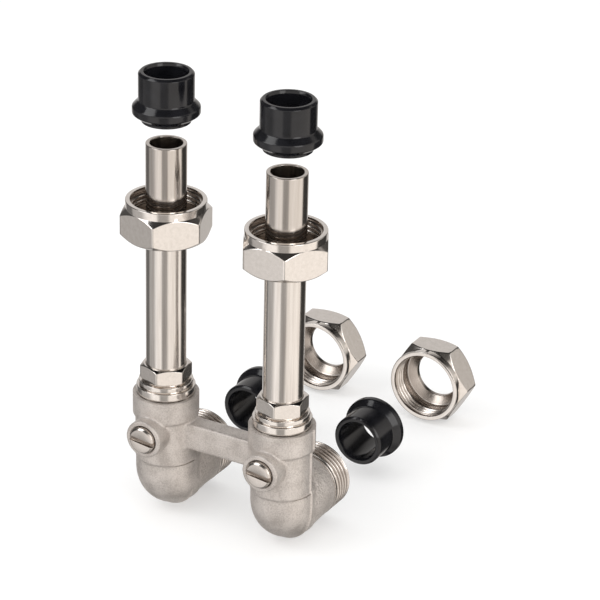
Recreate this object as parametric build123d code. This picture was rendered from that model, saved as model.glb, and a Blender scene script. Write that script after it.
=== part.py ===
from build123d import *
from math import radians, sqrt, tan
import os

# Double angled radiator connection fitting, in millimetres.
# X runs from the left side to the right side, Y to the rear along the outlets, Z up along the pipes.
# The origin lies midway between the two outlet mouths, on the plane of their end faces.
# Each valve axis is vertical, at X = plus or minus half the outlet spacing and Y = minus the outlet reach.

# Clearances between pieces
running_gap = 0.05
seated_gap = 0.15
cord_gap = 0.025
socket_side_gap = 0.2
socket_end_gap = 0.3

# Block
outlet_spacing = 50.0
outlet_reach = 29.2
body_diameter = 22.9
collar_diameter = 24.8
collar_bottom = 25.0
collar_top = 33.8
collar_edge = 0.9
lower_body_diameter = 24.0
lower_body_front = 10.6
elbow_bottom = 13.3
elbow_bend = 5.5
elbow_blend_length = 7.0
seam_height = 7.5
seam_edge = 0.8
passage_diameter = 12.0

# Outlets
outlet_thread_diameter = 26.44
outlet_thread_length = 10.8
outlet_neck_diameter = 25.1
outlet_end_chamfer = 0.45

# Bridge between the two sides
bridge_front = 3.5
bridge_rear = 4.5
bridge_bottom = 13.6
bridge_top = 24.4
bridge_corner = 3.0
bridge_edge = 1.2

# Spindle boss
spindle_height = 20.1
boss_diameter = 15.3
boss_reach = 16.1
boss_edge = 0.6

# Spindle
spindle_diameter = 10.4
spindle_proud = 1.7
spindle_bevel = 0.7
spindle_slot_width = 1.4
spindle_slot_depth = 1.3
spindle_flange_diameter = 12.4
spindle_flange_thickness = 1.2
spindle_washer_thickness = 0.75
flange_wall = 0.25
tang_width = 2.9
tang_length = 6.4
tang_depth = 3.2
rest_turn = 7.0

# O-rings of the spindle
spindle_cord = 1.0
groove_width = 1.5
groove_inner_from_face = 4.1
groove_outer_from_face = 1.9

# Ball and its seats
ball_diameter = 13.0
ball_bore = 8.5
ball_slot_depth = 1.5
ball_slot_gap = 0.05
seat_outer_diameter = 16.0
seat_height_from_ball = 3.7

# Pipe and what seals it in the collar
pipe_outer_diameter = 15.0
pipe_wall = 1.5
pipe_top = 133.0
pipe_edge = 0.3
seat_washer_diameter = 20.8
seat_washer_thickness = 0.8
pipe_cord = 1.8
clamp_ring_height = 3.7
clamp_ring_straight = 1.0
clamp_ring_slit = 1.2
clamp_ring_tip = 0.25

# Gland nut
gland_thread_diameter = 20.96
gland_skirt_lift = 0.4
gland_undercut = 0.6
gland_recess_diameter = 18.8
gland_cone_angle = 30.0
gland_ring_b_diameter = 22.0
gland_ring_b_bottom = 0.4
gland_ring_b_height = 3.0
gland_groove_depth = 1.3
gland_groove_height = 0.35
gland_ring_a_diameter = 20.3
gland_ring_a_height = 1.75
gland_slit_height = 0.15
gland_across_flats = 17.0
gland_hex_height = 6.2
gland_hex_turn = -20.0
gland_edge = 0.3

# Conical seals
seal_bore = 15.4
seal_nose_diameter = 20.2
seal_nose_height = 10.8
seal_tip_chamfer = 0.8
seal_lead_in = 0.5
seal_flange_diameter = 24.6
seal_flange_height = 2.5
seal_taper_height = 2.4
seal_neck_diameter = 18.0
seal_neck_height = 0.9

# Union nuts
nut_across_flats = 30.0
nut_height = 14.4
nut_ring_diameter = 29.8
nut_ring_height = 3.0
nut_ring_edge = 0.4
nut_corner_angle = 42.0
nut_floor = 2.0
nut_hole_diameter = 18.3
nut_bore_diameter = 26.6
nut_relief_depth = 0.25
nut_relief_height = 1.6
nut_mouth_chamfer = 0.3
left_nut_turn = -74.4
right_nut_turn = -61.2

# Places of the loose pieces, as they are laid out
pipe_nut_bottom = 96.9
pipe_seal_bottom = 141.4
outlet_seal_distance = 29.3
outlet_nut_distance = 84.8

# Worked out from the sizes above
body_radius = body_diameter / 2
ledge_height = spindle_height + ball_diameter / 2
chamber_floor = spindle_height - ball_diameter / 2
chamber_radius = seat_outer_diameter / 2 + running_gap
collar_bore_radius = gland_thread_diameter / 2 + running_gap
washer_top = ledge_height + seat_washer_thickness
pipe_radius = pipe_outer_diameter / 2
pipe_bore_radius = pipe_radius - pipe_wall
spindle_radius = spindle_diameter / 2
spindle_bore_radius = spindle_radius + running_gap
flange_radius = spindle_flange_diameter / 2
flange_start = chamber_radius + flange_wall
flange_end = flange_start + spindle_flange_thickness
counterbore_floor = flange_end + running_gap + spindle_washer_thickness
seal_cone_height = (seal_flange_diameter - seal_nose_diameter) / 2
seal_height = seal_neck_height + seal_taper_height + seal_flange_height + seal_cone_height + seal_nose_height
socket_radius = seal_nose_diameter / 2 + socket_side_gap
socket_mouth_radius = seal_flange_diameter / 2
socket_depth = seal_nose_height + seal_cone_height + socket_end_gap
gland_bottom = washer_top + gland_skirt_lift
gland_ring_start = collar_top + gland_ring_b_bottom
across_corners = 2 / sqrt(3)


def turned(points):
    """A solid turned about Z from an outline of (radius, height) points."""
    return revolve(make_face(Polyline(*[(r, 0, z) for r, z in points], close=True)), Axis.Z)


def rod(radius, bottom, top):
    """A plain cylinder along Z."""
    return Pos(0, 0, bottom) * extrude(Circle(radius), top - bottom)


def washer(inner, outer, bottom, top):
    """A flat ring along Z."""
    return rod(outer, bottom, top) - rod(inner, bottom, top)


def hexagon(across_flats, bottom, top, turn):
    """A six-sided prism along Z with one corner at the angle given by turn."""
    outline = RegularPolygon(across_flats / 2 * across_corners, 6, rotation=turn)
    return Pos(0, 0, bottom) * extrude(outline, top - bottom)


def valve_axis(side):
    """The frame on one valve axis, at the height of the outlets."""
    return Pos(side * outlet_spacing / 2, -outlet_reach, 0)


def spindle_axis(side):
    """The same, at the height of the spindle, with its own Z pointing to the front."""
    return valve_axis(side) * Pos(0, 0, spindle_height) * Rot(90, 0, 0)


def outlet_axis(side, distance):
    """The frame on an outlet axis, at a distance behind the mouth, with its own Z pointing to the front."""
    return Pos(side * outlet_spacing / 2, distance, 0) * Rot(90, 0, 0)


def elbow():
    """The swept lower corner, from the upright body round to the outlet."""
    radius = lower_body_diameter / 2
    centre_y = radius - lower_body_front
    bend_y = centre_y + elbow_bend
    bend_z = elbow_bend + radius - elbow_bottom
    section = Pos(0, centre_y, bend_z) * Circle(radius)
    section &= Pos(0, bend_y - 2 * radius, bend_z) * Rectangle(4 * radius, 4 * radius)
    corner = revolve(section, Axis((0, bend_y, bend_z), (1, 0, 0)), 90)
    bend_end = Pos(0, bend_y, bend_z - elbow_bend) * Rot(90, 0, 0) * Circle(radius)
    neck_start = Pos(0, bend_y + elbow_blend_length, 0) * Rot(90, 0, 0) * Circle(outlet_neck_diameter / 2)
    blend = loft([bend_end, neck_start])
    upright = Pos(0, centre_y, 0) * rod(radius, bend_z, seam_height)
    upright = chamfer(upright.edges().group_by(Axis.Z)[-1], seam_edge)
    return corner + blend + upright


def outlet():
    """The rear outlet with its neck and the land that carries the thread."""
    thread_radius = outlet_thread_diameter / 2
    thread_start = outlet_reach - outlet_thread_length
    return turned([
        (0, 0),
        (outlet_neck_diameter / 2, 0),
        (outlet_neck_diameter / 2, thread_start - outlet_end_chamfer),
        (thread_radius, thread_start),
        (thread_radius, outlet_reach - outlet_end_chamfer),
        (thread_radius - outlet_end_chamfer, outlet_reach),
        (0, outlet_reach),
    ])


def body_outside():
    """One side of the block without its bores, on its valve axis."""
    upright = turned([
        (0, 0),
        (body_radius, 0),
        (body_radius, collar_bottom - (collar_diameter / 2 - body_radius)),
        (collar_diameter / 2, collar_bottom),
        (collar_diameter / 2, collar_top - collar_edge),
        (collar_diameter / 2 - collar_edge / 2, collar_top),
        (0, collar_top),
    ])
    upright -= rod(collar_diameter, 0, seam_height)
    boss = rod(boss_diameter / 2, 0, boss_reach)
    boss = fillet(boss.edges().group_by(Axis.Z)[-1], boss_edge)
    return elbow() + upright + Rot(-90, 0, 0) * outlet() + Pos(0, 0, spindle_height) * Rot(90, 0, 0) * boss


def bridge():
    """The web between the two sides, with rounded edges and round corners where it meets them."""
    width = bridge_front + bridge_rear
    half = outlet_spacing / 2
    middle = (bridge_rear - bridge_front) / 2
    plan = Pos(0, middle) * Rectangle(outlet_spacing, width)
    plan += [Pos(side * half, 0) * Circle(body_radius) for side in (-1, 1)]
    corners = plan.vertices().filter_by(lambda v: abs(v.X) < half)
    plan = fillet(corners, bridge_corner)
    web = extrude(plan, bridge_top - bridge_bottom)
    rims = web.edges().group_by(Axis.Z)
    web = fillet(rims[0] + rims[-1], bridge_edge)
    return Pos(0, -outlet_reach, bridge_bottom) * web


def body_bores():
    """What is bored out of one side of the block, on its valve axis."""
    passage = passage_diameter / 2
    down = turned([
        (0, 0),
        (passage, 0),
        (passage, chamber_floor),
        (chamber_radius, chamber_floor),
        (chamber_radius, ledge_height),
        (collar_bore_radius, ledge_height),
        (collar_bore_radius, collar_top - gland_edge),
        (collar_bore_radius + gland_edge, collar_top),
        (0, collar_top),
    ])
    socket = turned([
        (0, 0),
        (passage, 0),
        (passage, outlet_reach - socket_depth),
        (socket_radius, outlet_reach - socket_depth),
        (socket_radius, outlet_reach - (socket_mouth_radius - socket_radius)),
        (socket_mouth_radius, outlet_reach),
        (0, outlet_reach),
    ])
    spindle_way = turned([
        (0, 0),
        (flange_radius + running_gap, 0),
        (flange_radius + running_gap, counterbore_floor),
        (spindle_bore_radius, counterbore_floor),
        (spindle_bore_radius, boss_reach - gland_edge),
        (spindle_bore_radius + gland_edge, boss_reach),
        (0, boss_reach),
    ])
    spindle_way = Pos(0, 0, spindle_height) * Rot(90, 0, 0) * spindle_way
    return down + Sphere(passage) + Rot(-90, 0, 0) * socket + spindle_way


def valve_block():
    """The forged block: two elbows joined by the bridge, with all their bores."""
    block = bridge()
    for side in (-1, 1):
        block += valve_axis(side) * body_outside()
    for side in (-1, 1):
        block -= valve_axis(side) * body_bores()
    return block


def spindle():
    """The spindle along Z, from its tang to its slotted head, turned a little from level as it was left."""
    head = boss_reach + spindle_proud
    groove = spindle_radius - spindle_cord - 2 * cord_gap + running_gap
    outline = [(0, flange_start), (flange_radius, flange_start), (flange_radius, flange_end)]
    outline += [(spindle_radius, flange_end)]
    for from_face in (groove_inner_from_face, groove_outer_from_face):
        middle = boss_reach - from_face
        outline += [
            (spindle_radius, middle - groove_width / 2),
            (groove, middle - groove_width / 2),
            (groove, middle + groove_width / 2),
            (spindle_radius, middle + groove_width / 2),
        ]
    outline += [(spindle_radius, head - spindle_bevel), (spindle_radius - spindle_bevel, head), (0, head)]
    slot = Pos(0, 0, head) * Box(4 * spindle_radius, spindle_slot_width, 2 * spindle_slot_depth)
    tang = Pos(0, 0, flange_start - tang_depth / 2) * Box(tang_width, tang_length, tang_depth)
    return Rot(0, 0, -rest_turn) * (turned(outline) - slot + tang)


def spindle_o_ring(from_face):
    """One O-ring in its groove on the spindle."""
    middle_radius = spindle_bore_radius - cord_gap - spindle_cord / 2
    return Pos(0, 0, boss_reach - from_face) * Torus(middle_radius, spindle_cord / 2)


def spindle_washer():
    """The thrust washer between the spindle's flange and the floor of the counterbore."""
    bottom = counterbore_floor - spindle_washer_thickness
    return washer(spindle_bore_radius, flange_radius, bottom, counterbore_floor)


def valve_ball():
    """The ball about the origin, with its bore nearly level and a slot across its front for the tang."""
    radius = ball_diameter / 2
    bore = Rot(0, 90, 0) * Pos(0, 0, -radius) * rod(ball_bore / 2, 0, 2 * radius)
    slot_width = tang_width + 2 * ball_slot_gap
    slot = Pos(0, 0, radius) * Box(slot_width, 2 * radius, 2 * ball_slot_depth)
    return Rot(90, 0, 0) * Rot(0, 0, -rest_turn) * (Sphere(radius) - bore - slot)


def ball_seat():
    """The upper ball seat about the ball's centre."""
    ring = washer(ball_bore / 2, seat_outer_diameter / 2, seat_height_from_ball, ball_diameter / 2)
    return ring - Sphere(ball_diameter / 2 + running_gap)


def seat_washer():
    """The flat washer between the ledge in the collar and the pipe's end."""
    return washer(pipe_bore_radius, seat_washer_diameter / 2, ledge_height, washer_top)


def connection_pipe():
    """The bright pipe that stands on the seat washer."""
    return turned([
        (pipe_bore_radius, washer_top),
        (pipe_radius - pipe_edge, washer_top),
        (pipe_radius, washer_top + pipe_edge),
        (pipe_radius, pipe_top - pipe_edge),
        (pipe_radius - pipe_edge, pipe_top),
        (pipe_bore_radius, pipe_top),
    ])


def pipe_o_ring():
    """The O-ring between the pipe and the gland's skirt."""
    middle_radius = (pipe_radius + gland_recess_diameter / 2) / 2
    return Pos(0, 0, washer_top + pipe_cord / 2 + cord_gap) * Torus(middle_radius, pipe_cord / 2)


def clamp_ring():
    """The split ring that the gland nut's cone closes on the pipe."""
    bottom = washer_top + pipe_cord + 2 * cord_gap
    inner = pipe_radius + running_gap
    outer = gland_recess_diameter / 2 - running_gap
    ring = turned([
        (inner, bottom),
        (outer, bottom),
        (outer, bottom + clamp_ring_straight),
        (inner + clamp_ring_tip, bottom + clamp_ring_height),
        (inner, bottom + clamp_ring_height),
    ])
    slit = Box(clamp_ring_slit, 2 * outer, 2 * clamp_ring_height)
    slit = Pos(0, -outer, bottom + clamp_ring_height / 2) * slit
    return ring - slit


def gland_nut():
    """The gland nut: threaded skirt, two turned rings and a hexagon."""
    ring_b_top = gland_ring_start + gland_ring_b_height
    ring_a_bottom = ring_b_top + gland_groove_height
    ring_a_top = ring_a_bottom + gland_ring_a_height
    hex_bottom = ring_a_top + gland_slit_height
    hex_top = hex_bottom + gland_hex_height
    skirt = gland_thread_diameter / 2
    ring_b = gland_ring_b_diameter / 2
    ring_a = gland_ring_a_diameter / 2
    flat = gland_across_flats / 2
    corner = flat * across_corners
    slope = tan(radians(gland_cone_angle))
    rings = turned([
        (0, gland_bottom),
        (skirt - gland_edge, gland_bottom),
        (skirt, gland_bottom + gland_edge),
        (skirt, collar_top - gland_undercut),
        (skirt - gland_undercut, collar_top - gland_undercut),
        (skirt - gland_undercut, gland_ring_start),
        (ring_b - gland_edge, gland_ring_start),
        (ring_b, gland_ring_start + gland_edge),
        (ring_b, ring_b_top - gland_edge),
        (ring_b - gland_edge, ring_b_top),
        (ring_b - gland_groove_depth, ring_b_top),
        (ring_b - gland_groove_depth, ring_a_bottom),
        (ring_a - gland_edge, ring_a_bottom),
        (ring_a, ring_a_bottom + gland_edge),
        (ring_a, ring_a_top - gland_edge),
        (ring_a - gland_edge, ring_a_top),
        (flat - gland_edge, ring_a_top),
        (flat - gland_edge, hex_bottom),
        (0, hex_bottom),
    ])
    corners = turned([
        (0, hex_bottom),
        (flat - gland_edge, hex_bottom),
        (corner, hex_bottom + (corner - flat + gland_edge) * slope),
        (corner, hex_top - (corner - flat + gland_edge) * slope),
        (flat - gland_edge, hex_top),
        (0, hex_top),
    ])
    recess = gland_recess_diameter / 2
    bore = pipe_radius + running_gap
    cone_start = washer_top + pipe_cord + 2 * cord_gap + clamp_ring_straight + running_gap
    ring_slope = (clamp_ring_height - clamp_ring_straight) / (recess - bore - running_gap - clamp_ring_tip)
    inside = turned([
        (0, gland_bottom),
        (recess, gland_bottom),
        (recess, cone_start),
        (bore, cone_start + (recess - bore) * ring_slope),
        (bore, hex_top),
        (0, hex_top),
    ])
    return rings + (hexagon(gland_across_flats, hex_bottom, hex_top, gland_hex_turn) & corners) - inside


def seal():
    """The conical seal along Z, from its neck up to the tip of its nose."""
    bore = seal_bore / 2
    nose = seal_nose_diameter / 2
    flange = seal_flange_diameter / 2
    flange_bottom = seal_neck_height + seal_taper_height
    flange_top = flange_bottom + seal_flange_height
    return turned([
        (bore, 0),
        (seal_neck_diameter / 2, 0),
        (seal_neck_diameter / 2, seal_neck_height),
        (flange, flange_bottom),
        (flange, flange_top),
        (nose, flange_top + seal_cone_height),
        (nose, seal_height - seal_tip_chamfer),
        (nose - seal_tip_chamfer, seal_height),
        (bore + seal_lead_in, seal_height),
        (bore, seal_height - 2 * seal_lead_in),
    ])


def union_nut(turn):
    """The union nut along Z, from its hexagon up to the mouth of its thread."""
    flat = nut_across_flats / 2
    corner = flat * across_corners
    ring = nut_ring_diameter / 2
    hex_top = nut_height - nut_ring_height
    bevel = (corner - ring) * tan(radians(nut_corner_angle))
    outside = turned([
        (0, 0),
        (ring, 0),
        (corner, bevel),
        (corner, hex_top - bevel),
        (ring, hex_top),
        (0, hex_top),
    ])
    collar = turned([
        (0, 0),
        (ring, 0),
        (ring, nut_height - nut_ring_edge),
        (ring - nut_ring_edge, nut_height),
        (0, nut_height),
    ])
    hole = nut_hole_diameter / 2
    bore = nut_bore_diameter / 2
    taper_slope = seal_taper_height / (seal_flange_diameter / 2 - seal_neck_diameter / 2)
    cone_radius = seal_flange_diameter / 2 + seated_gap
    cone_top = nut_floor + (cone_radius - hole) * taper_slope
    relief = bore + nut_relief_depth
    inside = turned([
        (0, 0),
        (hole + nut_ring_edge, 0),
        (hole, nut_ring_edge),
        (hole, nut_floor),
        (cone_radius, cone_top),
        (relief, cone_top),
        (relief, cone_top + nut_relief_height),
        (bore, cone_top + nut_relief_height),
        (bore, nut_height - nut_mouth_chamfer),
        (bore + nut_mouth_chamfer, nut_height),
        (0, nut_height),
    ])
    return (hexagon(nut_across_flats, 0, hex_top, turn) & outside) + collar - inside


def side_pieces(name, side, nut_turn):
    """All the pieces of one side apart from the block, each under the name of its node."""
    upright = valve_axis(side)
    across = spindle_axis(side)
    ball_centre = upright * Pos(0, 0, spindle_height)
    seal_end = outlet_seal_distance + seal_height
    nut_end = outlet_nut_distance + nut_height
    return {
        f"{name}_spindle": across * spindle(),
        f"{name}_spindle_o_ring_inner": across * spindle_o_ring(groove_inner_from_face),
        f"{name}_spindle_o_ring_outer": across * spindle_o_ring(groove_outer_from_face),
        f"{name}_spindle_washer": across * spindle_washer(),
        f"{name}_valve_ball": ball_centre * valve_ball(),
        f"{name}_upper_ball_seat": ball_centre * ball_seat(),
        f"{name}_lower_ball_seat": ball_centre * Rot(180, 0, 0) * ball_seat(),
        f"{name}_seat_washer": upright * seat_washer(),
        f"{name}_connection_pipe": upright * connection_pipe(),
        f"{name}_pipe_o_ring": upright * pipe_o_ring(),
        f"{name}_clamp_ring": upright * clamp_ring(),
        f"{name}_gland_nut": upright * gland_nut(),
        f"{name}_pipe_nut": upright * Pos(0, 0, pipe_nut_bottom) * union_nut(nut_turn),
        f"{name}_pipe_seal": upright * Pos(0, 0, pipe_seal_bottom) * seal(),
        f"{name}_outlet_seal": outlet_axis(side, seal_end) * seal(),
        f"{name}_outlet_nut": outlet_axis(side, nut_end) * union_nut(0),
    }


os.makedirs("parts", exist_ok=True)
pieces = {"valve_block": valve_block()}
pieces |= side_pieces("left", -1, left_nut_turn)
pieces |= side_pieces("right", 1, right_nut_turn)
for node, shape in pieces.items():
    export_step(shape, f"parts/{node}.step")
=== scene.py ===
import math

import bpy
import numpy as np
from mathutils import Matrix, Vector


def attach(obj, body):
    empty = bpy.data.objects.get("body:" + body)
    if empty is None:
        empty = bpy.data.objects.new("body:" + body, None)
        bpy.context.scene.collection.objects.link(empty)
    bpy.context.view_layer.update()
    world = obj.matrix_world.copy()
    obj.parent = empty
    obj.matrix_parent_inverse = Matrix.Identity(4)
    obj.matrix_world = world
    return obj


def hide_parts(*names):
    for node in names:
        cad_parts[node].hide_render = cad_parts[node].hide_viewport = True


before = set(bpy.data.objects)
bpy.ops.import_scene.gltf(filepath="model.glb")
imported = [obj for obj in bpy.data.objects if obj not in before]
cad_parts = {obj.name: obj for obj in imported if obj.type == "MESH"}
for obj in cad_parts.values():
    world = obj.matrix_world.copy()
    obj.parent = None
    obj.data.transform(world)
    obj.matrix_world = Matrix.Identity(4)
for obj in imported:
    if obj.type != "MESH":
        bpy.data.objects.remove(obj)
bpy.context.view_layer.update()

print("frame loaded:", len(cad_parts), "nodes")

# Pieces are modelled in millimetres about their own axis and brought to metres when they are placed
millimetre = 0.001
mergeDistance = 0.0005

layout = {
    "sides": (("left", -1), ("right", 1)),
    "spacing": 50.0,
    "reach": 29.2,                       # outlet mouth to valve axis
    "outletNutTravel": 42.15 + 49.9,     # how far the rear nut comes forward when it is done up
}


# Small helpers

def deselectAll():
    if bpy.context.mode != "OBJECT":
        bpy.ops.object.mode_set(mode="OBJECT")
    bpy.ops.object.select_all(action="DESELECT")


def makeActive(obj):
    deselectAll()
    obj.select_set(True)
    bpy.context.view_layer.objects.active = obj
    return obj


def named(name):
    obj = bpy.context.object
    obj.name = name
    obj.data.name = name
    return obj


def editAll(obj):
    makeActive(obj)
    bpy.ops.object.mode_set(mode="EDIT")
    bpy.ops.mesh.select_all(action="SELECT")


def objectMode():
    bpy.ops.object.mode_set(mode="OBJECT")


def applyModifier(obj, kind, **settings):
    makeActive(obj)
    modifier = obj.modifiers.new(kind.lower(), kind)
    for key, value in settings.items():
        setattr(modifier, key, value)
    bpy.ops.object.modifier_apply(modifier=modifier.name)
    return obj


def remove(obj):
    bpy.data.objects.remove(obj, do_unlink=True)


def combine(obj, tool, operation):
    applyModifier(obj, "BOOLEAN", object=tool, operation=operation, solver="EXACT")
    remove(tool)
    return obj


def joined(objects, name):
    deselectAll()
    for obj in objects:
        obj.select_set(True)
    bpy.context.view_layer.objects.active = objects[0]
    bpy.ops.object.join()
    return named(name)


def coordinates(obj):
    points = np.empty(len(obj.data.vertices) * 3)
    obj.data.vertices.foreach_get("co", points)
    return points.reshape(-1, 3)


def moveVertices(obj, points):
    obj.data.vertices.foreach_set("co", np.ascontiguousarray(points, dtype=np.float64).ravel())
    obj.data.update()


cornerShares = (0.0, 0.2, 0.4, 0.6, 0.8, 1.0)


def rounded(points, closed):
    # each point is (radius, height) and may go on with its rounding and the steps to the next point
    full = [tuple(p) + (0.0, 1)[len(p) - 2:] for p in points]
    out = []
    count = len(full)
    for i, (r, z, rounding, steps) in enumerate(full):
        here = Vector((r, z))
        before = Vector(full[i - 1][:2])
        after = Vector(full[(i + 1) % count][:2])
        if rounding and (closed or 0 < i < count - 1):
            start = here + (before - here).normalized() * rounding
            end = here + (after - here).normalized() * rounding
            for t in cornerShares:
                out.append((1 - t) ** 2 * start + 2 * t * (1 - t) * here + t * t * end)
        else:
            out.append(here)
        if steps > 1:
            for k in range(1, steps):
                out.append(out[-1].lerp(after, 1 / (steps - k + 1)))
    return out


def lathe(name, points, closed=True, steps=128):
    # an outline drawn vertex by vertex in the XZ plane and spun about Z
    outline = rounded(points, closed)
    deselectAll()
    bpy.ops.mesh.primitive_plane_add(size=0.1, location=(0, 0, 0))
    obj = named(name)
    bpy.ops.object.mode_set(mode="EDIT")
    bpy.ops.mesh.merge(type="CENTER")
    bpy.ops.transform.translate(value=(outline[0].x, 0, outline[0].y))
    for last, point in zip(outline, outline[1:]):
        step = point - last
        bpy.ops.mesh.extrude_region_move(TRANSFORM_OT_translate={"value": (step.x, 0, step.y)})
    if closed:
        objectMode()
        ends = (outline[0], outline[-1])
        for v in obj.data.vertices:
            v.select = min((v.co.xz - end).length for end in ends) < mergeDistance
        bpy.ops.object.mode_set(mode="EDIT")
        bpy.ops.mesh.edge_face_add()
    bpy.ops.mesh.select_all(action="SELECT")
    bpy.ops.mesh.spin(steps=steps, angle=2 * math.pi, center=(0, 0, 0), axis=(0, 0, 1))
    bpy.ops.mesh.select_all(action="SELECT")
    bpy.ops.mesh.remove_doubles(threshold=mergeDistance)
    bpy.ops.mesh.delete_loose()
    bpy.ops.mesh.select_all(action="SELECT")
    bpy.ops.mesh.normals_make_consistent(inside=False)
    objectMode()
    return obj


def cylinder(name, radius, start, end, sides=128):
    # a cylinder between two points
    start, end = Vector(start), Vector(end)
    deselectAll()
    bpy.ops.mesh.primitive_cylinder_add(vertices=sides, radius=radius, depth=(end - start).length)
    obj = named(name)
    turn = (end - start).to_track_quat("Z", "Y").to_matrix().to_4x4()
    obj.matrix_world = Matrix.Translation((start + end) / 2) @ turn
    bpy.ops.object.transform_apply(location=True, rotation=True, scale=True)
    return obj


def block(name, low, high, bevel=0.0, segments=4):
    low, high = Vector(low), Vector(high)
    deselectAll()
    bpy.ops.mesh.primitive_cube_add(size=1, location=(low + high) / 2)
    obj = named(name)
    obj.scale = high - low
    bpy.ops.object.transform_apply(location=True, rotation=True, scale=True)
    if bevel:
        editAll(obj)
        bpy.ops.mesh.bevel(offset=bevel, segments=segments, affect="EDGES")
        objectMode()
    return obj


def softMin(a, b, softness):
    return -softness * np.logaddexp(-a / softness, -b / softness)


def cutHexagon(obj, acrossFlats, low, high, softness=0.06):
    # the outside of a turned piece is cut back to six flats, one corner on +X, and its bore is left alone
    points = coordinates(obj)
    radius = np.hypot(points[:, 0], points[:, 1])
    angle = np.arctan2(points[:, 1], points[:, 0])
    sector = math.pi / 3
    across = np.mod(angle, sector) - sector / 2
    flat = acrossFlats / 2
    wall = 0.9 * flat
    near = flat / np.cos(across)
    beside = flat / np.cos(np.abs(across) - sector)
    limit = softMin(near, beside, 2 * softness)
    inside = (points[:, 2] > low) & (points[:, 2] < high) & (radius > wall)
    target = np.where(inside, softMin(radius, limit, softness), radius)
    scale = np.where(radius > 1e-6, target / np.maximum(radius, 1e-6), 1.0)
    points[:, :2] *= scale[:, None]
    moveVertices(obj, points)
    return obj


def threadWave(phase):
    # +1 on a crest and -1 in a root, straight flanks between rounded ends
    bluntness = 0.94
    return np.arcsin(bluntness * np.sin(2 * np.pi * phase)) / math.asin(bluntness)


def smoothStep(value):
    value = np.clip(value, 0.0, 1.0)
    return value * value * (3 - 2 * value)


pipeThread = {"pitch": 1.814, "depth": 1.16, "fade": 0.9}


def cutThread(obj, radius, depth, low, high, shift):
    # vertices on a plain cylinder take the form of a thread between two heights
    points = coordinates(obj)
    r = np.hypot(points[:, 0], points[:, 1])
    angle = np.arctan2(points[:, 1], points[:, 0])
    z = points[:, 2]
    surface, slack = 0.02, 0.001
    on = (np.abs(r - radius) < surface) & (z > low - slack) & (z < high + slack)
    wave = threadWave((z - shift) / pipeThread["pitch"] - angle / (2 * math.pi))
    ends = smoothStep((z - low) / pipeThread["fade"]) * smoothStep((high - z) / pipeThread["fade"])
    target = np.where(on, radius - depth * ends * (1 - wave) / 2, r)
    points[:, :2] *= (target / np.maximum(r, 1e-6))[:, None]
    moveVertices(obj, points)
    return obj


def shadeByAngle(obj, degrees=32):
    makeActive(obj)
    bpy.ops.object.shade_smooth_by_angle(angle=math.radians(degrees))
    return obj


def place(obj, location, rotation=(0, 0, 0), turn=0.0):
    # turns a piece about its own axis by some degrees, then brings it to its place in the frame, in metres
    makeActive(obj)
    obj.rotation_euler = (0, 0, math.radians(turn))
    bpy.ops.object.transform_apply(location=False, rotation=True, scale=False)
    obj.rotation_euler = rotation
    bpy.ops.object.transform_apply(location=False, rotation=True, scale=False)
    obj.location = location
    bpy.ops.object.transform_apply(location=True, rotation=False, scale=False)
    obj.scale = (millimetre,) * 3
    bpy.ops.object.transform_apply(location=False, rotation=False, scale=True)
    return obj


towardFront = (math.pi / 2, 0, 0)        # turns a piece's own +Z to -Y


def valveAxis(side):
    return Vector((side * layout["spacing"] / 2, -layout["reach"], 0))


def dress(obj, material, slot, body, *nodes):
    obj.data.materials.clear()
    obj.data.materials.append(material)
    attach(obj, body)
    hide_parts(*nodes)
    return obj


# Materials

class Socket:
    # a node's output that can be used in sums

    def __init__(self, shader, output):
        self.shader = shader
        self.output = output

    def maths(self, operation, first, second=None):
        values = {0: first} if second is None else {0: first, 1: second}
        return self.shader.add("ShaderNodeMath", {"operation": operation}, values)

    def __add__(self, other):
        return self.maths("ADD", self, other)

    def __radd__(self, other):
        return self.maths("ADD", other, self)

    def __sub__(self, other):
        return self.maths("SUBTRACT", self, other)

    def __rsub__(self, other):
        return self.maths("SUBTRACT", other, self)

    def __mul__(self, other):
        return self.maths("MULTIPLY", self, other)

    def __rmul__(self, other):
        return self.maths("MULTIPLY", other, self)

    def __truediv__(self, other):
        return self.maths("DIVIDE", self, other)

    def __pow__(self, other):
        return self.maths("POWER", self, other)


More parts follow.
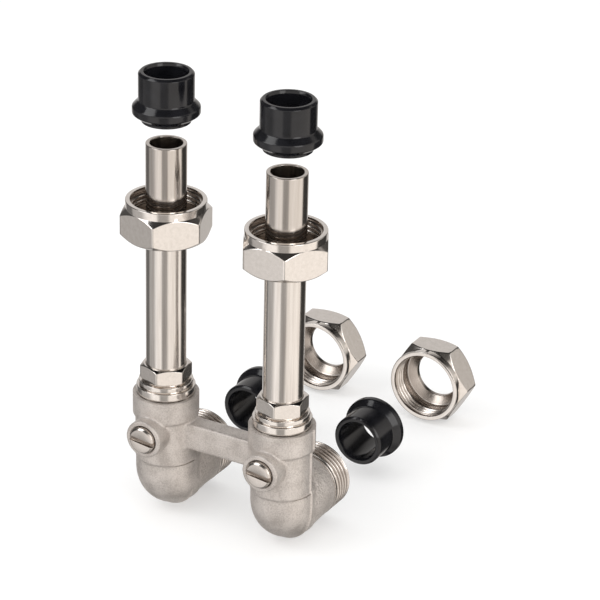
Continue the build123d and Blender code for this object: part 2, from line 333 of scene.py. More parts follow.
class Shader:
    # one node tree, with one method that adds any node

    def __init__(self, name, world=None):
        self.owner = world or bpy.data.materials.new(name)
        self.owner.use_nodes = True
        self.tree = self.owner.node_tree
        self.tree.nodes.clear()
        self.position = self.add("ShaderNodeTexCoord", {}, {}, "Generated" if world else "Object")

    def add(self, kind, settings, values, output=0):
        node = self.tree.nodes.new(kind)
        for key, value in settings.items():
            if key == "stops":
                self.setStops(node.color_ramp, value)
            else:
                setattr(node, key, value)
        for key, value in values.items():
            if isinstance(value, Socket):
                self.tree.links.new(value.output, node.inputs[key])
            else:
                node.inputs[key].default_value = value
        return Socket(self, node.outputs[output]) if len(node.outputs) else node

    def setStops(self, ramp, stops):
        while len(ramp.elements) > len(stops):
            ramp.elements.remove(ramp.elements[-1])
        while len(ramp.elements) < len(stops):
            ramp.elements.new(1.0)
        for element, (place, value) in zip(ramp.elements, stops):
            element.position = place
            element.color = (value, value, value, 1)

    def noise(self, scale, detail=3.0, roughness=0.55, stretch=(1, 1, 1)):
        spread = self.add("ShaderNodeMapping", {}, {"Vector": self.position, "Scale": stretch})
        values = {"Vector": spread, "Scale": scale, "Detail": detail, "Roughness": roughness}
        return self.add("ShaderNodeTexNoise", {}, values, "Fac")

    def ramp(self, value, stops):
        return self.add("ShaderNodeValToRGB", {"stops": stops}, {"Fac": value})

    def blend(self, amount, first, second):
        return self.add("ShaderNodeMix", {"data_type": "RGBA"}, {0: amount, 6: first, 7: second}, 2)

    def bump(self, height, strength, distance):
        values = {"Height": height, "Strength": strength, "Distance": distance}
        return self.add("ShaderNodeBump", {}, values, "Normal")

    def finish(self, values):
        surface = self.add("ShaderNodeBsdfPrincipled", {}, values)
        self.add("ShaderNodeOutputMaterial", {}, {"Surface": surface})
        return self.owner


def along(s, axis):
    return s.add("ShaderNodeSeparateXYZ", {}, {"Vector": s.position}, axis)


def besideAxis(x):
    # how far a point is from its own side's axis, both sides alike, in metres
    return x.maths("ABSOLUTE", x) - layout["spacing"] / 2 * millimetre


def shadeByRadius(s, first, second, stops):
    # the stops are places from 0 to 1 of this many millimetres
    reach = 16.0
    return s.ramp((first * first + second * second) ** 0.5 / (reach * millimetre), stops)


castingFinish = {
    "pale": (0.74, 0.69, 0.65, 1),
    "dull": (0.53, 0.485, 0.45, 1),
    "grain": 1900.0,
    "coarse": 1300.0,
    "waves": 160.0,
    "metallic": 0.68,
    "coarseFrom": 27.4,                  # the rear flanks, this near to the outlets' mouths, are coarser
    "coarseFade": 4.1,
}


def castingMaterial():
    c = castingFinish
    s = Shader("nickelCasting")
    fine = s.noise(c["grain"], 3.0, 0.6)
    coarse = s.noise(c["coarse"], 4.0, 0.65)
    waves = s.noise(c["waves"], 3.0, 0.5)
    past = (along(s, "Y") + c["coarseFrom"] * millimetre) / (c["coarseFade"] * millimetre)
    rear = s.ramp(past, ((0.0, 0.0), (1.0, 1.0)))
    grain = fine * (1 - rear * 0.6) + coarse * (rear * 0.6)
    tone = s.ramp(waves * (0.45 - rear * 0.25) + grain * (0.55 + rear * 0.25), ((0.4, 0.0), (0.58, 1.0)))
    height = fine * (0.4 + rear * 0.4) + coarse * (0.2 + rear * 1.2) + waves * 0.5
    return s.finish({
        "Base Color": s.blend(tone, c["dull"], c["pale"]),
        "Metallic": c["metallic"],
        "Roughness": s.ramp(grain * 0.6 + waves * 0.4, ((0.3, 0.36), (0.7, 0.54))),
        "Normal": s.bump(height, 1.0, 0.0004),
    })


turnedFinish = {
    "pale": (0.85, 0.81, 0.775, 1),
    "dull": (0.77, 0.73, 0.69, 1),
    "lines": 5200.0,
    "spots": 700.0,
    # painted shade: the dark tone that the thread roots, slots and nut insides take
    "recess": (0.26, 0.205, 0.165, 1),
    "recessDullness": 0.2,
}


def turnedMaterial(name, recess=None, roughness=0.12):
    # the optional function gives 1 where shade is painted into the colour as a darker tone
    s = Shader(name)
    fine = s.noise(turnedFinish["lines"], 2.0, 0.5)
    spots = s.noise(turnedFinish["spots"], 4.0, 0.6)
    colour = s.blend(s.ramp(spots, ((0.3, 0.0), (0.7, 1.0))), turnedFinish["dull"], turnedFinish["pale"])
    polish = s.ramp(spots * 0.6 + fine * 0.4, ((0.3, 0.8 * roughness), (0.7, 1.3 * roughness)))
    if recess:
        # painted shade: the colour darkens towards the painted-shade tone where the function gives 1; the
        # added roughness there is real
        depth = recess(s)
        colour = s.blend(depth, colour, turnedFinish["recess"])
        polish = polish + depth * turnedFinish["recessDullness"]
    return s.finish({
        "Base Color": colour,
        "Metallic": 1.0,
        "Roughness": polish,
        "Normal": s.bump(fine * 0.6 + spots * 0.4, 0.08, 0.00003),
    })


pipeFinish = {
    "pale": (0.83, 0.795, 0.76, 1),
    "dull": (0.70, 0.66, 0.625, 1),
    "streaks": 900.0,
    "endTint": (0.50, 0.455, 0.415, 1),
    "endFrom": 106.0,                    # above this height the pipe's end is duller
    "endFade": 10.0,
}


def pipeMaterial():
    s = Shader("brightPipe")
    streaks = s.noise(pipeFinish["streaks"], 3.0, 0.5, (1, 1, 0.04))
    tone = s.ramp(streaks, ((0.35, 0.0), (0.65, 1.0)))
    past = (along(s, "Z") - pipeFinish["endFrom"] * millimetre) / (pipeFinish["endFade"] * millimetre)
    end = s.ramp(past, ((0.0, 0.0), (1.0, 0.5)))
    metal = s.blend(tone, pipeFinish["dull"], pipeFinish["pale"])
    return s.finish({
        "Base Color": s.blend(end, metal, pipeFinish["endTint"]),
        "Metallic": 1.0,
        "Roughness": s.ramp(streaks, ((0.3, 0.13), (0.7, 0.2))),
        "Normal": s.bump(streaks, 0.1, 0.00005),
    })


rubberFinish = {
    "base": (0.006, 0.0062, 0.0078, 1),
    "worn": (0.012, 0.0122, 0.015, 1),
    "grain": 1500.0,
}


def rubberMaterial():
    s = Shader("blackRubber")
    grain = s.noise(rubberFinish["grain"], 4.0, 0.6)
    cloud = s.noise(rubberFinish["grain"] / 8, 3.0, 0.5)
    tone = s.ramp(cloud, ((0.35, 0.0), (0.7, 1.0)))
    return s.finish({
        "Base Color": s.blend(tone, rubberFinish["base"], rubberFinish["worn"]),
        "Roughness": s.ramp(cloud * 0.6 + grain * 0.4, ((0.3, 0.09), (0.7, 0.18))),
        "Normal": s.bump(grain * 0.5 + cloud * 0.5, 0.12, 0.00006),
    })


def plainMaterial(name, colour, metallic, roughness):
    s = Shader(name)
    grain = s.noise(900.0, 3.0, 0.5)
    darker = tuple(0.85 * c for c in colour[:3]) + (1,)
    return s.finish({
        "Base Color": s.blend(grain, darker, colour),
        "Metallic": metallic,
        "Roughness": s.ramp(grain, ((0.3, 0.8 * roughness), (0.7, 1.2 * roughness))),
        "Normal": s.bump(grain, 0.1, 0.00005),
    })


materials = {
    "casting": castingMaterial(),
    "turned": turnedMaterial("nickelTurned"),
    "pipe": pipeMaterial(),
    "rubber": rubberMaterial(),
    "seat": plainMaterial("ballSeatPlastic", (0.86, 0.85, 0.82, 1), 0.0, 0.4),
    "ball": plainMaterial("ballChrome", (0.8, 0.8, 0.81, 1), 1.0, 0.12),
    "brass": plainMaterial("clampBrass", (0.78, 0.58, 0.3, 1), 1.0, 0.3),
}
print("materials made:", len(materials))


# The forged block: a soft casting and two turned outlets

casting = {
    "bodyRadius": 11.45,
    "collarRadius": 12.4,
    "collarBottom": 25.0,
    "collarTop": 33.8,
    "lowerRadius": 12.0,
    "lowerFront": 10.6,
    "elbowBottom": 14.7,
    "bend": 5.5,
    "blendFront": 3.2,
    "blendRear": 13.0,
    "blendRadius": 11.8,
    "overlap": 0.5,                      # how far the elbow's pieces reach into each other
    "neckOverlap": 0.1,
    "seamHeight": 7.5,
    "neckRadius": 13.1,
    "landRoot": 11.35,
    "bossRadius": 7.3,
    "bossReach": 16.1,
    "spindleHeight": 20.1,
    "bridgeFront": 3.5,
    "bridgeRear": 4.5,
    "bridgeBottom": 13.6,
    "bridgeTop": 24.4,
    "bridgeCorner": 3.0,
    "bridgeEdge": 1.2,
    "cornerRoot": 6.0,                   # from the valve axis, where a round corner's block starts
    "cornerInset": 0.5,
    "trim": 1,                           # how far a piece or cutter goes past the face that ends it
    "voxel": 0.37,
    "smoothing": 10,
    "ridgeHeight": 0.5,
    "ridgeWidth": 0.4,
    "ridgePlane": 1.7,
    "ridgeRise": 1.5,                    # from nothing, beside the bridge, to its full height
    "ridgeFacing": (0.6, 0.3),           # it fades where the surface turns to the front or the rear
    "landStart": 18.4,                   # from the valve axis, where the outlet's thread begins
    "landInner": 13.9,                   # the turned outlet's inner end
    "socketFloor": 15.9,
    "passage": 6.0,
    "downStart": -0.5,
    "backStart": -5.9,
    "chamber": 8.05,
    "chamberFloor": 13.6,
    "ledge": 26.6,
    "collarBore": 10.53,
    "spindleBore": 5.38,
    "spindleHoleStart": 2,
    "mouthChamfer": 0.35,
    "flare": 2,                          # how far the boss's chamfer cutter goes on past its face
    "cutterRadius": 20,
    "cutterEnd": 40,
    # the seam's notch, measured from the upright's wall and the seam's height
    "seamNotch": ((-0.45, -0.42), (1.2, -0.5), (1.2, 0.12), (-0.2, 0.0)),
}


def elbowCorner(c):
    # half a disc swept a quarter turn, from straight down to straight back
    centreY = c["lowerRadius"] - c["lowerFront"]
    bendY = centreY + c["bend"]
    bendZ = c["bend"] + c["lowerRadius"] - c["elbowBottom"]
    centre = (0, centreY, bendZ)
    deselectAll()
    bpy.ops.mesh.primitive_circle_add(vertices=96, radius=c["lowerRadius"], fill_type="NGON", location=centre)
    obj = named("elbowCorner")
    bpy.ops.object.transform_apply(location=True, rotation=True, scale=True)
    editAll(obj)
    bpy.ops.mesh.bisect(plane_co=(0, bendY, bendZ), plane_no=(0, 1, 0), clear_outer=True, use_fill=False)
    bpy.ops.mesh.select_all(action="SELECT")
    bpy.ops.mesh.spin(steps=24, angle=-math.pi / 2, center=(0, bendY, bendZ), axis=(1, 0, 0))
    bpy.ops.mesh.select_all(action="SELECT")
    bpy.ops.mesh.remove_doubles(threshold=mergeDistance)
    bpy.ops.mesh.normals_make_consistent(inside=False)
    objectMode()
    foot = (0, centreY, bendZ - c["overlap"])
    upright = cylinder("elbowUpright", c["lowerRadius"], foot, (0, centreY, c["seamHeight"]))
    blend = cylinder("elbowBlend", 1.0, (0, 0, 0), (0, 1, 0))
    points = coordinates(blend)
    share = points[:, 1]
    points[:, [0, 2]] *= (c["blendRadius"] + (c["neckRadius"] - c["blendRadius"]) * share)[:, None]
    points[:, 2] += (bendZ - c["bend"]) * (1 - share)
    points[:, 1] = c["blendFront"] + (c["blendRear"] - c["blendFront"]) * share
    moveVertices(blend, points)
    neckFront = c["blendRear"] - c["neckOverlap"]
    neck = cylinder("neck", c["neckRadius"], (0, neckFront, 0), (0, c["landStart"], 0))
    return [obj, upright, blend, neck]


def castingSide(c, side):
    z = c["spindleHeight"]
    uprightTop = c["collarTop"] - c["trim"]
    collarTop = c["collarTop"] + c["trim"]
    pieces = elbowCorner(c)
    pieces.append(cylinder("upright", c["bodyRadius"], (0, 0, c["seamHeight"]), (0, 0, uprightTop)))
    pieces.append(cylinder("collar", c["collarRadius"], (0, 0, c["collarBottom"]), (0, 0, collarTop)))
    pieces.append(cylinder("boss", c["bossRadius"], (0, 0, z), (0, -c["bossReach"], z)))
    for obj in pieces:
        obj.location.x = side * layout["spacing"] / 2
    return pieces


def bridgeWeb(c):
    # the plain web, and a round corner on each side where it meets an upright
    half = layout["spacing"] / 2
    bottom, top = c["bridgeBottom"], c["bridgeTop"]
    pieces = [block("web", (-half, -c["bridgeFront"], bottom), (half, c["bridgeRear"], top), c["bridgeEdge"])]
    for face, way in ((c["bridgeFront"], -1), (c["bridgeRear"], 1)):
        centreY = face + c["bridgeCorner"]
        span = c["bodyRadius"] + c["bridgeCorner"]
        centreX = math.sqrt(span ** 2 - centreY ** 2)
        touchY = centreY * c["bodyRadius"] / span
        for side in (-1, 1):
            at = (side * (half - centreX), way * centreY)
            left, right = sorted((side * half - side * c["cornerRoot"], at[0]))
            front, rear = sorted((0, way * touchY))
            low = (left, front, bottom + c["cornerInset"])
            high = (right, rear, top - c["cornerInset"])
            corner = block("corner", low, high)
            ends = ((*at, bottom - c["trim"]), (*at, top + c["trim"]))
            cut = cylinder("cornerCut", c["bridgeCorner"], *ends, 64)
            pieces.append(combine(corner, cut, "DIFFERENCE"))
    return pieces


def raiseRidges(obj, c):
    # the forging's parting line stands proud down both flanks of each side and under its elbow
    points = coordinates(obj)
    normals = np.empty(points.size)
    obj.data.vertices.foreach_get("normal", normals)
    normals = normals.reshape(-1, 3)
    fromAxis = np.abs(points[:, 0]) - layout["spacing"] / 2
    away = np.abs(points[:, 1] - c["ridgePlane"])
    onSide = smoothStep((fromAxis + c["bodyRadius"]) / c["ridgeRise"])
    most, fade = c["ridgeFacing"]
    facing = smoothStep((most - np.abs(normals[:, 1])) / fade)
    level = c["ridgeHeight"] * np.exp(-(away / c["ridgeWidth"]) ** 2) * onSide * facing
    moveVertices(obj, points + normals * level[:, None])


def castingCutters(c, side):
    # water way and valve chamber, outlet, spindle hole, and the notch along the seam
    x = side * layout["spacing"] / 2
    wide, far = c["cutterRadius"], c["cutterEnd"]
    down = lathe("cutDown", [
        (0, c["downStart"]),
        (c["passage"], c["downStart"]),
        (c["passage"], c["chamberFloor"]),
        (c["chamber"], c["chamberFloor"]),
        (c["chamber"], c["ledge"]),
        (c["collarBore"], c["ledge"]),
        (c["collarBore"], c["collarTop"] - c["mouthChamfer"]),
        (c["collarBore"] + c["mouthChamfer"], c["collarTop"]),
        (wide, c["collarTop"]),
        (wide, far),
        (0, far),
    ], closed=False)
    back = lathe("cutBack", [
        (0, c["backStart"]),
        (c["passage"], c["backStart"]),
        (c["passage"], c["landInner"]),
        (c["landRoot"], c["landInner"]),
        (c["landRoot"], c["landStart"]),
        (wide, c["landStart"]),
        (wide, far),
        (0, far),
    ], closed=False)
    makeActive(back)
    back.rotation_euler = (-math.pi / 2, 0, 0)
    bpy.ops.object.transform_apply(location=True, rotation=True, scale=True)
    front = lathe("cutFront", [
        (0, c["spindleHoleStart"]),
        (c["spindleBore"], c["spindleHoleStart"]),
        (c["spindleBore"], c["bossReach"] - c["mouthChamfer"]),
        (c["spindleBore"] + c["mouthChamfer"] + c["flare"], c["bossReach"] + c["flare"]),
        (0, c["bossReach"] + c["flare"]),
    ], closed=False, steps=96)
    makeActive(front)
    front.rotation_euler = towardFront
    front.location.z = c["spindleHeight"]
    bpy.ops.object.transform_apply(location=True, rotation=True, scale=True)
    seam = lathe("cutSeam", [(c["bodyRadius"] + r, c["seamHeight"] + z) for r, z in c["seamNotch"]])
    beforeRidge = (0, c["ridgePlane"] - c["ridgeWidth"], 0)
    editAll(seam)
    bpy.ops.mesh.bisect(plane_co=beforeRidge, plane_no=(0, 1, 0), clear_outer=True, use_fill=True)
    objectMode()
    cutters = [down, back, front, seam]
    for obj in cutters:
        obj.location.x = x
    return cutters


def castingPiece(c):
    pieces = bridgeWeb(c)
    for _, side in layout["sides"]:
        pieces += castingSide(c, side)
    obj = joined(pieces, "blockCasting")
    bpy.ops.object.transform_apply(location=True, rotation=True, scale=True)
    applyModifier(obj, "REMESH", mode="VOXEL", voxel_size=c["voxel"], use_smooth_shade=True)
    applyModifier(obj, "SMOOTH", factor=0.5, iterations=c["smoothing"])
    raiseRidges(obj, c)
    print("casting remeshed:", len(obj.data.polygons), "faces")
    for _, side in layout["sides"]:
        for cutter in castingCutters(c, side):
            combine(obj, cutter, "DIFFERENCE")
    shadeByAngle(obj, 40)
    place(obj, (0, -layout["reach"], 0))
    return dress(obj, materials["casting"], "nickel_casting", "fitting", "valve_block")


blockCasting = castingPiece(casting)
print("casting cut:", len(blockCasting.data.polygons), "faces")


outletLand = {
    "radius": 13.2,
    "start": casting["landStart"],
    "end": layout["reach"],
    "edge": 0.42,
    "plain": 0.1,                        # stays plain beside each edge
    "shoulder": 1.0,                     # plain raised edge before the first crest
    "backLip": 1.0,
    "backDepth": 0.35,                   # how far the casting covers the turned piece's rear lip
    "wall": 2.2,
    "mouth": 12.3,
    "socket": 10.3,
    "floor": casting["socketFloor"],
    "passage": casting["passage"],
    "inner": casting["landInner"],
    "threadSteps": 76,
}


def outletShade(s):
    # painted shade, dark in the thread's roots and in the socket
    x, y, z = (along(s, axis) for axis in "XYZ")
    shade = shadeByRadius(s, besideAxis(x), z, ((0.6, 0.9), (0.755, 1.0), (0.797, 0.6), (0.818, 0.15)))
    return shade * y.maths("LESS_THAN", y, -0.3 * millimetre)


outletMetal = turnedMaterial("nickelOutlet", outletShade, 0.16)


def outletPiece(c, name, side):
    threadLow = c["start"] + c["shoulder"]
    threadHigh = c["end"] - c["edge"] - c["plain"]
    obj = lathe(name + "OutletThread", [
        (c["passage"], c["inner"]),
        (c["passage"], c["floor"], 0.2),
        (c["socket"], c["floor"], 0.3),
        (c["socket"], c["end"] - (c["mouth"] - c["socket"]), 0.2),
        (c["mouth"], c["end"], 0.12),
        (c["radius"] - c["edge"], c["end"], 0.1),
        (c["radius"], c["end"] - c["edge"]),
        (c["radius"], threadHigh, 0, c["threadSteps"]),
        (c["radius"], threadLow),
        (c["radius"], c["start"] + c["plain"], 0.12),
        (c["radius"] - c["backLip"], c["start"] - c["backDepth"]),
        (c["radius"] - c["wall"], c["start"] - c["backDepth"]),
        (c["radius"] - c["wall"], c["inner"]),
    ], steps=192)
    cutThread(obj, c["radius"], pipeThread["depth"], threadLow, threadHigh, layout["reach"])
    shadeByAngle(obj, 50)
    place(obj, valveAxis(side), (-math.pi / 2, 0, 0))
    return dress(obj, outletMetal, "nickel_turned", "fitting", "valve_block")


for sideName, side in layout["sides"]:
    outletPiece(outletLand, sideName, side)
print("outlets made")


# Spindles

spindle = {
    "height": casting["spindleHeight"],
    "radius": 5.18,
    "head": 17.8,
    "bevel": 0.7,
    "edge": 0.15,
    "inner": 9.8,
    "slotWidth": 1.9,
    "slotDepth": 1.3,
    "slotReach": 9,
    "turn": 7.0,
    "headDarkening": 0.2,                         # the whole head is darkened by this share of the slot's painted-shade tone
}


def slotShade(s):
    # painted shade, dark inside the screwdriver slot and paler on its lower wall, found from the distance to
    # the slot's middle plane
    c = spindle
    x, y, z = (along(s, axis) for axis in "XYZ")
    across = x - x.maths("SIGN", x) * (layout["spacing"] / 2 * millimetre)
    turn = math.radians(c["turn"])
    above = (z - c["height"] * millimetre) * math.cos(turn) + across * math.sin(turn)
    near = x.maths("LESS_THAN", x.maths("ABSOLUTE", above), (c["slotWidth"] / 2 + 0.02) * millimetre)
    deep = y.maths("GREATER_THAN", y, (0.06 - layout["reach"] - c["head"]) * millimetre)
    shade = above.maths("MINIMUM", above * (0.45 / millimetre) + 0.8, 1.0)
    return near * deep * shade * (1 - c["headDarkening"]) + c["headDarkening"]


spindleMetal = turnedMaterial("nickelSpindle", slotShade, 0.15)


def spindlePiece(c, name, side):
    obj = lathe(name + "SpindleHead", [
        (0, c["inner"]), (c["radius"], c["inner"]), (c["radius"], c["head"] - c["bevel"], c["edge"]),
        (c["radius"] - c["bevel"], c["head"], c["edge"]), (0, c["head"]),
    ], closed=False, steps=128)
    half = c["slotWidth"] / 2
    low = (-c["slotReach"], -half, c["head"] - c["slotDepth"])
    cut = block("slotCut", low, (c["slotReach"], half, c["head"] + 1))
    combine(obj, cut, "DIFFERENCE")
    applyModifier(obj, "BEVEL", width=0.09, segments=2, limit_method="ANGLE", angle_limit=math.radians(60))
    shadeByAngle(obj, 35)
    place(obj, valveAxis(side) + Vector((0, 0, c["height"])), towardFront, -c["turn"])
    return dress(obj, spindleMetal, "nickel_turned", name + "_stem", name + "_spindle")


for sideName, side in layout["sides"]:
    spindlePiece(spindle, sideName, side)
print("spindles made")


# Gland nuts

gland = {
    "bottom": 30.2,
    "skirt": 10.48,
    "skirtTop": 33.2,
    "neck": 9.9,
    "ringStart": 34.2,
    "ringB": 11.0,
    "ringBTop": 37.2,
    "groove": 9.7,
    "ringABottom": 37.55,
    "ringA": 10.15,
    "ringATop": 39.3,
    "slit": 8.2,
    "hexBottom": 39.45,
    "hexTop": 45.65,
    "acrossFlats": 17.0,
    "bore": 7.56,
    "edge": 0.3,
    "turn": -20.0,
}


def glandPiece(c, name, side):
    flat = c["acrossFlats"] / 2
    corner = flat / math.cos(math.pi / 6)
    rise = (corner - flat + c["edge"]) * math.tan(math.radians(30))
    obj = lathe(name + "GlandNut", [
        (c["bore"], c["bottom"]),
        (c["skirt"], c["bottom"]),
        (c["skirt"], c["skirtTop"], 0.1),
        (c["neck"], c["skirtTop"]),
        (c["neck"], c["ringStart"]),
        (c["ringB"], c["ringStart"], c["edge"]),
        (c["ringB"], c["ringBTop"], c["edge"]),
        (c["groove"], c["ringBTop"]),
        (c["groove"], c["ringABottom"]),
        (c["ringA"], c["ringABottom"], c["edge"]),
        (c["ringA"], c["ringATop"], c["edge"]),
        (c["slit"], c["ringATop"]),
        (c["slit"], c["hexBottom"]),
        (flat - c["edge"], c["hexBottom"], 0, 9),
        (corner, c["hexBottom"] + rise, 0, 3),
        (corner, c["hexTop"] - rise, 0, 9),
        (flat - c["edge"], c["hexTop"]),
        (c["bore"], c["hexTop"], 0.2),
    ], steps=360)
    cutHexagon(obj, c["acrossFlats"], c["hexBottom"] - 0.01, c["hexTop"] + 0.01)
    shadeByAngle(obj, 35)
    place(obj, valveAxis(side), turn=c["turn"])
    return dress(obj, materials["turned"], "nickel_turned", "fitting", name + "_gland_nut")


for sideName, side in layout["sides"]:
    glandPiece(gland, sideName, side)
print("gland nuts made")


# Connection pipes

pipe = {"outer": 7.5, "inner": 6.0, "bottom": 27.4, "top": 133.0, "edge": 0.3}


def pipePiece(c, name, side):
    obj = lathe(name + "Pipe", [
        (c["inner"], c["bottom"]), (c["outer"], c["bottom"]), (c["outer"], c["top"], c["edge"]),
        (c["inner"], c["top"], c["edge"]),
    ], steps=160)
    shadeByAngle(obj, 35)
    place(obj, valveAxis(side))
    return dress(obj, materials["pipe"], "bright_pipe", "fitting", name + "_connection_pipe")


for sideName, side in layout["sides"]:
    pipePiece(pipe, sideName, side)
print("pipes made")


# Conical seals, one above each pipe and one behind each outlet

seal = {
    "bore": 7.7,
    "leadIn": 0.5,
    "neck": 9.0,
    "neckTop": 0.9,
    "flange": 12.3,
    "flangeBottom": 3.3,
    "flangeTop": 5.8,
    "nose": 10.1,
    "noseBottom": 8.0,
    "height": 18.8,
    "tip": 0.8,
    "upperBottom": 141.4,
    "rearTip": 29.3,
}


def sealPiece(c, label):
    obj = lathe(label, [
        (c["bore"], 0, 0.25),
        (c["neck"], 0, 0.2),
        (c["neck"], c["neckTop"], 0.2),
        (c["flange"], c["flangeBottom"], 0.45),
        (c["flange"], c["flangeTop"], 0.45),
        (c["nose"], c["noseBottom"], 0.5),
        (c["nose"], c["height"] - c["tip"], 0.2),
        (c["nose"] - c["tip"], c["height"], 0.15),
        (c["bore"] + c["leadIn"], c["height"], 0.15),
        (c["bore"], c["height"] - 2 * c["leadIn"], 0.3),
    ], steps=160)
    return shadeByAngle(obj, 40)


for sideName, side in layout["sides"]:
    upper = sealPiece(seal, sideName + "PipeSeal")
    place(upper, valveAxis(side) + Vector((0, 0, seal["upperBottom"])))
    dress(upper, materials["rubber"], "black_rubber", sideName + "_upper_seal", sideName + "_pipe_seal")
    rear = sealPiece(seal, sideName + "OutletSeal")
    place(rear, (side * layout["spacing"] / 2, seal["rearTip"] + seal["height"], 0), towardFront)
    dress(rear, materials["rubber"], "black_rubber", sideName + "_rear_seal", sideName + "_outlet_seal")
print("seals made")


# Union nuts, one round each pipe and one behind each outlet

unionNut = {
    "acrossFlats": 30.0,
    "height": 14.4,
    "ring": 14.9,
    "hexTop": 11.4,
    "chamfer": 42.0,
    "edge": 0.35,
    "floor": 2.0,
    "hole": 9.15,
    "coneTop": 4.4,
    "cone": 12.45,
    "relief": 13.55,
    "reliefTop": 6.6,
    "bore": 13.3,
    "threadDepth": 0.98,
    "threadStart": 7.67,                 # where the outlet's thread starts when the nut is done up
    "threadSteps": 60,
    "threadStop": 0.75,                  # below the mouth
    "mouth": 12.75,
    "mouthEdge": 0.45,
    "mouthRing": 0.7,
    "upperBottom": 96.9,
    "rearMouth": 84.8,
    "turns": {"left": -74.4, "right": -61.2},
}


def pipeNutShade(s):
    # painted shade, dark inside the upper nuts, but for the thread's crests
    x, y, z = (along(s, axis) for axis in "XYZ")
    stops = ((0.56, 0.7), (0.75, 0.8), (0.775, 0.2), (0.8, 0.85), (0.85, 1.0), (0.86, 0.0))
    mouth = unionNut["upperBottom"] + unionNut["height"] - unionNut["mouthRing"]
    shade = shadeByRadius(s, besideAxis(x), y + layout["reach"] * millimetre, stops)
    return shade * z.maths("LESS_THAN", z, mouth * millimetre)


def outletNutShade(s):
    # the rear nuts are lit from behind, so their insides are paler
    x, y, z = (along(s, axis) for axis in "XYZ")
    stops = ((0.56, 0.5), (0.75, 0.6), (0.775, 0.12), (0.8, 0.5), (0.85, 0.7), (0.86, 0.0))
    mouth = unionNut["rearMouth"] + unionNut["mouthRing"]
    return shadeByRadius(s, besideAxis(x), z, stops) * y.maths("GREATER_THAN", y, mouth * millimetre)


pipeNutMetal = turnedMaterial("nickelPipeNut", pipeNutShade)
outletNutMetal = turnedMaterial("nickelOutletNut", outletNutShade)


def nutPiece(c, label, shift):
    flat = c["acrossFlats"] / 2
    corner = flat / math.cos(math.pi / 6)
    rise = (corner - c["ring"]) * math.tan(math.radians(c["chamfer"]))
    threadHigh = c["height"] - c["threadStop"]
    obj = lathe(label, [
        (c["hole"], c["edge"]),
        (c["hole"] + c["edge"], 0, 0.1),
        (c["ring"] - 0.3, 0, 0, 2),
        (c["ring"] - 0.1, 0.02, 0, 14),
        (corner, rise, 0, 4),
        (corner, c["hexTop"] - rise, 0, 14),
        (c["ring"] - 0.02, c["hexTop"]),
        (c["ring"], c["height"], c["edge"]),
        (c["mouth"] + c["mouthEdge"], c["height"], 0.1),
        (c["bore"], threadHigh, 0, c["threadSteps"]),
        (c["bore"], c["threadStart"]),
        (c["bore"], c["reliefTop"]),
        (c["relief"], c["reliefTop"] - 0.3),
        (c["relief"], c["coneTop"], 0.3),
        (c["cone"], c["coneTop"], 0.2),
        (c["hole"], c["floor"], 0.15),
    ], steps=360)
    cutHexagon(obj, c["acrossFlats"], 0.01, c["hexTop"] - 0.01)
    cutThread(obj, c["bore"], c["threadDepth"], c["threadStart"], threadHigh, shift)
    return shadeByAngle(obj, 35)


for sideName, side in layout["sides"]:
    upper = nutPiece(unionNut, sideName + "PipeNut", 0.0)
    place(upper, valveAxis(side) + Vector((0, 0, unionNut["upperBottom"])), turn=unionNut["turns"][sideName])
    dress(upper, pipeNutMetal, "nickel_turned", sideName + "_upper_nut", sideName + "_pipe_nut")
    back = unionNut["rearMouth"] + unionNut["height"]
    seatedBack = back - layout["outletNutTravel"]
    rear = nutPiece(unionNut, sideName + "OutletNut", seatedBack - pipeThread["pitch"] / 2)
    place(rear, (side * layout["spacing"] / 2, back, 0), towardFront)
    dress(rear, outletNutMetal, "nickel_turned", sideName + "_rear_nut", sideName + "_outlet_nut")
print("union nuts made")


# The inner pieces keep their CAD solids

innerFinishes = {
    "spindle_o_ring_inner": "rubber",
    "spindle_o_ring_outer": "rubber",
    "spindle_washer": "seat",
    "valve_ball": "ball",
    "upper_ball_seat": "seat",
    "lower_ball_seat": "seat",
    "seat_washer": "rubber",
    "pipe_o_ring": "rubber",
    "clamp_ring": "brass",
}
for sideName, _ in layout["sides"]:
    for label, finish in innerFinishes.items():
        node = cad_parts[sideName + "_" + label]
        if not node.material_slots:
            node.data.materials.append(materials[finish])
        for materialSlot in node.material_slots:
            materialSlot.material = materials[finish]
print("inner pieces dressed")


# Floor, light and camera

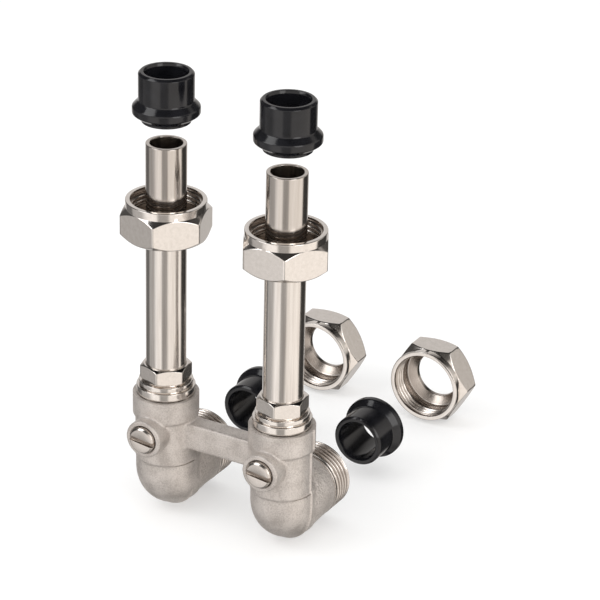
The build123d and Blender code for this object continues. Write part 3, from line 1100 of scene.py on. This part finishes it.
studio = {
    "floorHeight": -0.0165,
    "floorSize": 3.0,
    "floorColour": (0.6, 0.6, 0.597, 1),
    "floorGlow": 0.42,
    "plainColour": (1.0, 1.0, 1.0, 1),
    "plainStrength": 1.0,
    "roomStrength": 1.15,
    # brightness round the room: 0.5 is the camera's side, then to its right (towards 1) and left (towards 0)
    "bands": ((0.0, 0.7), (0.08, 0.65), (0.11, 0.14), (0.2, 0.16), (0.215, 0.4), (0.31, 0.46), (0.335, 0.78),
              (0.36, 0.98), (0.43, 0.98), (0.45, 0.36), (0.52, 0.38), (0.54, 0.92), (0.75, 1.0), (0.77, 0.05),
              (0.89, 0.04), (0.92, 0.55)),
    "upperBands": ((0.0, 0.65), (0.07, 0.6), (0.1, 0.08), (0.225, 0.06), (0.27, 0.5), (0.4, 0.8), (0.7, 0.9),
                   (0.8, 0.65), (0.825, 0.5), (0.84, 0.08), (0.9, 0.06), (0.93, 0.6)),
    "wallEdge": ((0.44, 0.0), (0.5, 1.0)),
    "warmth": ((0.0, 0.3), (0.35, 0.4), (0.45, 0.7), (0.54, 0.9), (0.75, 1.0), (1.0, 0.4)),
    "coolTint": (0.985, 0.965, 0.96, 1),
    "warmTint": (1.0, 0.935, 0.87, 1),
    # brightness by height: 0 is straight down, 0.5 level, 1 straight up
    "heights": ((0.0, 0.35), (0.07, 0.45), (0.15, 0.9), (0.3, 1.0), (0.785, 0.95), (0.825, 0.1), (0.97, 0.04),
                (1.0, 0.06)),
    # place, size and power of each lamp, all aimed at one point
    "lamps": {
        "keyLight": ((-0.45, -0.5, 0.7), (0.5, 0.5), 2.0),
        "fillLight": ((0.6, -0.3, 0.35), (0.3, 0.6), 1.0),
    },
    "lampAim": (0, 0, 0.06),
    "azimuth": 29.26,
    "elevation": 25.09,
    "roll": 1.34,
    "distance": 1.0,
    "target": (0.0312, -0.0292, 0.08496),
    "focalPixels": 2813.19,
    "imagePixels": 600,
    "sensor": 36.0,
}


def makeFloor(c):
    deselectAll()
    bpy.ops.mesh.primitive_plane_add(size=c["floorSize"], location=(0, 0, c["floorHeight"]))
    floor = named("floor")
    s = Shader("floorPaper")
    glow = {"Emission Color": c["plainColour"], "Emission Strength": c["floorGlow"]}
    floor.data.materials.append(s.finish({"Base Color": c["floorColour"], "Roughness": 0.9} | glow))
    floor.visible_glossy = False


def makeWorld(c):
    # a pale room with dark gaps between its soft boxes, as the bright metal shows them
    world = bpy.data.worlds.new("softRoom")
    bpy.context.scene.world = world
    s = Shader("softRoom", world)
    x, y, z = (along(s, axis) for axis in "XYZ")
    towardCamera = (c["azimuth"] - 90) / 360
    turn = x.maths("FRACT", x.maths("ARCTAN2", y, x) / (2 * math.pi) - towardCamera + 0.5)
    height = z * 0.5 + 0.5
    level = s.blend(s.ramp(height, c["wallEdge"]), s.ramp(turn, c["bands"]), s.ramp(turn, c["upperBands"]))
    warmth = s.ramp(turn, c["warmth"])
    tint = s.blend(warmth, c["coolTint"], c["warmTint"])
    strength = s.ramp(height, c["heights"]) * level * c["roomStrength"]
    room = s.add("ShaderNodeBackground", {}, {"Color": tint, "Strength": strength})
    plain = s.add("ShaderNodeBackground", {}, {"Color": c["plainColour"], "Strength": c["plainStrength"]})
    seen = s.add("ShaderNodeLightPath", {}, {}, "Is Camera Ray")
    diffuse = s.add("ShaderNodeLightPath", {}, {}, "Is Diffuse Ray")
    mixed = s.add("ShaderNodeMixShader", {}, {"Fac": x.maths("MAXIMUM", seen, diffuse), 1: room, 2: plain})
    s.add("ShaderNodeOutputWorld", {}, {"Surface": mixed})


def areaLight(name, location, size, power, aim):
    light = bpy.data.lights.new(name, "AREA")
    light.shape = "RECTANGLE"
    light.size, light.size_y = size
    light.energy = power
    obj = bpy.data.objects.new(name, light)
    bpy.context.scene.collection.objects.link(obj)
    obj.location = location
    obj.rotation_euler = (Vector(aim) - Vector(location)).to_track_quat("-Z", "Y").to_euler()


def makeCamera(c):
    azimuth, elevation, roll = (math.radians(c[k]) for k in ("azimuth", "elevation", "roll"))
    back = Vector((math.sin(azimuth) * math.cos(elevation), -math.cos(azimuth) * math.cos(elevation),
                   math.sin(elevation)))
    right = (-back).cross(Vector((0, 0, 1))).normalized()
    up = right.cross(-back)
    imageRight = right * math.cos(roll) + up * math.sin(roll)
    imageUp = up * math.cos(roll) - right * math.sin(roll)
    data = bpy.data.cameras.new("camera")
    data.sensor_width = c["sensor"]
    data.lens = c["focalPixels"] / c["imagePixels"] * c["sensor"]
    data.clip_start, data.clip_end = 0.05, 20
    obj = bpy.data.objects.new("camera", data)
    bpy.context.scene.collection.objects.link(obj)
    turn = Matrix((imageRight, imageUp, back)).transposed().to_4x4()
    obj.matrix_world = Matrix.Translation(Vector(c["target"]) + back * c["distance"]) @ turn
    bpy.context.scene.camera = obj


makeFloor(studio)
makeWorld(studio)
for lamp, (location, size, power) in studio["lamps"].items():
    areaLight(lamp, location, size, power, studio["lampAim"])
makeCamera(studio)
bpy.context.scene.view_settings.view_transform = "Standard"
